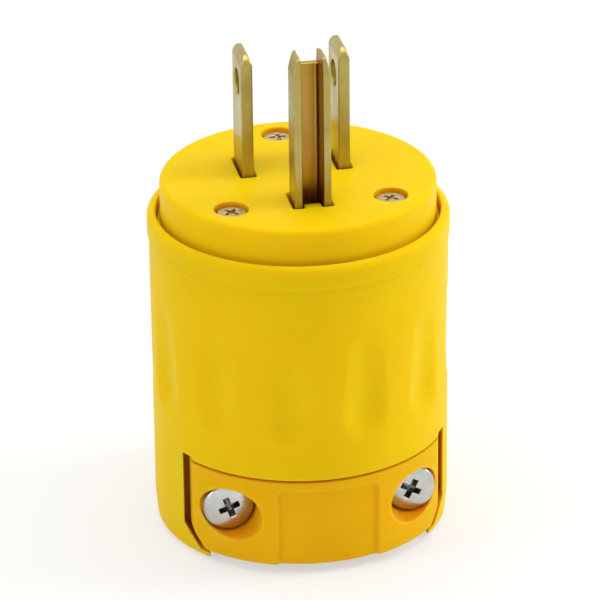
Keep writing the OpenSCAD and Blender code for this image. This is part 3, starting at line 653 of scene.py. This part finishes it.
# Screws
face_screw = screw(head_r=2.05, head_h=2.0, dome=0.3, shank_r=1.4, length=26.7,
                   reach=2.4, width=0.55, deep=0.6)
face_screw_grid = (levels(AXIS_R, 0.12, 2.7), turn_levels(5), levels(-27.0, 0.2, -2.0, 0.12, 2.4))
places = [Matrix.Rotation(math.radians(a), 4, "Z")
          @ Matrix.Translation((0, -SCREW_RING, BORE_SEAT + HEAD_LIFT)) for a in SCREW_ANGLES]
piece("face_screw_set", "face_screws", skin(face_screw, face_screw_grid, polar, True),
      places, (face_screw, SCREW_REACH), SHADED_FACE_ZINC)
clamp_screw = screw(head_r=3.3, head_h=2.0, dome=0.45, shank_r=1.7, length=17.4,
                    reach=3.0, width=0.8, deep=1.2)
clamp_screw_grid = (levels(AXIS_R, 0.14, 4.0), turn_levels(4), levels(-17.8, 0.18, -2.0, 0.12, 2.4))
places = [Matrix.Translation((s * CLAMP_X, -CLAMP_SEAT - HEAD_LIFT, CLAMP_Z))
          @ Matrix.Rotation(math.pi / 2, 4, "X") @ Matrix.Rotation(math.radians(a), 4, "Z")
          for s, a in CLAMP_TURNS]
piece("clamp_screw_set", "cord_clamp_screws", skin(clamp_screw, clamp_screw_grid, polar, True),
      places, (clamp_screw, SCREW_REACH), ZINC)

# Floor: white to the camera, and with the object's shadow
FLOOR_HALF, FLOOR_DROP, FLOOR_WHITE = 2.0, 0.0002, 0.55
floor_mesh = bpy.data.meshes.new("floor")
floor_mesh.from_pydata([(x * FLOOR_HALF, y * FLOOR_HALF, -FLOOR_DROP)
                        for x, y in ((-1, -1), (1, -1), (1, 1), (-1, 1))], [], [(0, 1, 2, 3)])
floor = bpy.data.objects.new("floor", floor_mesh)
bpy.context.scene.collection.objects.link(floor)
pale = Paint("floor_paint")
floor_mesh.materials.append(pale.done(
    pale.mix(pale.noise(scale=3, detail=2), (0.96, 0.96, 0.96, 1), (0.945, 0.945, 0.945, 1)), 0.7,
    pale.bump(pale.noise(scale=600, detail=2), depth=0.00002, strength=0.1), Specular_IOR_Level=0.2))
white = pale.tree.nodes.new("ShaderNodeEmission")
view = pale.tree.nodes.new("ShaderNodeLightPath")
blend = pale.tree.nodes.new("ShaderNodeMixShader")
pale.link(pale.span(view.outputs["Is Camera Ray"], 0, 1, 0, FLOOR_WHITE), blend.inputs["Fac"])
pale.link(pale.shader.outputs["BSDF"], blend.inputs[1])
pale.link(white.outputs["Emission"], blend.inputs[2])
pale.link(blend.outputs["Shader"], pale.tree.nodes["Material Output"].inputs["Surface"])

# World: white where it is seen or mirrored, and dimmer as a light
SKY_LIGHT, SKY_SEEN = 0.47, 1.0
world = bpy.data.worlds.new("studio")
bpy.context.scene.world = world
world.use_nodes = True
tree = world.node_tree
sky = tree.nodes["Background"]
sky.inputs["Color"].default_value = (1, 1, 1, 1)
rays = tree.nodes.new("ShaderNodeLightPath")
shown = tree.nodes.new("ShaderNodeMath")
shown.operation = "MAXIMUM"
tree.links.new(rays.outputs["Is Glossy Ray"], shown.inputs[0])
tree.links.new(rays.outputs["Is Transmission Ray"], shown.inputs[1])
seen = tree.nodes.new("ShaderNodeMath")
seen.operation = "MAXIMUM"
tree.links.new(rays.outputs["Is Camera Ray"], seen.inputs[0])
tree.links.new(shown.outputs[0], seen.inputs[1])
level = tree.nodes.new("ShaderNodeMapRange")
level.inputs["To Min"].default_value = SKY_LIGHT
level.inputs["To Max"].default_value = SKY_SEEN
tree.links.new(seen.outputs[0], level.inputs["Value"])
tree.links.new(level.outputs["Result"], sky.inputs["Strength"])

# Lamps, which all point at the middle of the body
LAMP_AIM = Vector((0, 0, 0.03))


def lamp(name, place, size, watts):
    """Round lamp at a place in metres."""
    light = bpy.data.lights.new(name, "AREA")
    light.shape = "DISK"
    light.size = size
    light.energy = watts
    ob = bpy.data.objects.new(name, light)
    ob.location = place
    ob.rotation_euler = (LAMP_AIM - Vector(place)).to_track_quat("-Z", "Y").to_euler()
    bpy.context.scene.collection.objects.link(ob)


lamp("key", place=(0.0, 0.1, 1.1), size=1.2, watts=7.0)
lamp("side", place=(0.75, -0.05, 0.42), size=0.35, watts=2.6)
lamp("left", place=(-0.8, -0.1, 0.4), size=0.4, watts=0.9)

# Camera fitted to the photo: angles, distance and scale, and the pixel of the point that it aims at
AZ, EL, ROLL = math.radians(-11.02), math.radians(25.56), math.radians(0.643)
DIST, PX_PER_M, AIM = 0.542, 7619.0, Vector((0, 0, 0.0297))
MID_X, MID_Y, SIZE, SENSOR, NEAR = 299.24, 303.9, 600, 36, 0.01
back = Vector((math.sin(AZ) * math.cos(EL), -math.cos(AZ) * math.cos(EL), math.sin(EL)))
level_right = Vector((math.cos(AZ), math.sin(AZ), 0))
level_up = back.cross(level_right)
right = level_right * math.cos(ROLL) - level_up * math.sin(ROLL)
up = level_right * math.sin(ROLL) + level_up * math.cos(ROLL)
aim = AIM + up * ((MID_Y - SIZE / 2) / PX_PER_M) - right * ((MID_X - SIZE / 2) / PX_PER_M)
lens = bpy.data.cameras.new("camera")
lens.sensor_width = SENSOR
lens.lens = PX_PER_M * DIST * SENSOR / SIZE
lens.clip_start = NEAR
camera = bpy.data.objects.new("camera", lens)
camera.matrix_world = Matrix.Translation(aim + back * DIST) @ Matrix((right, up, back)).transposed().to_4x4()
bpy.context.scene.collection.objects.link(camera)
bpy.context.scene.camera = camera
bpy.context.scene.view_settings.view_transform = "Standard"
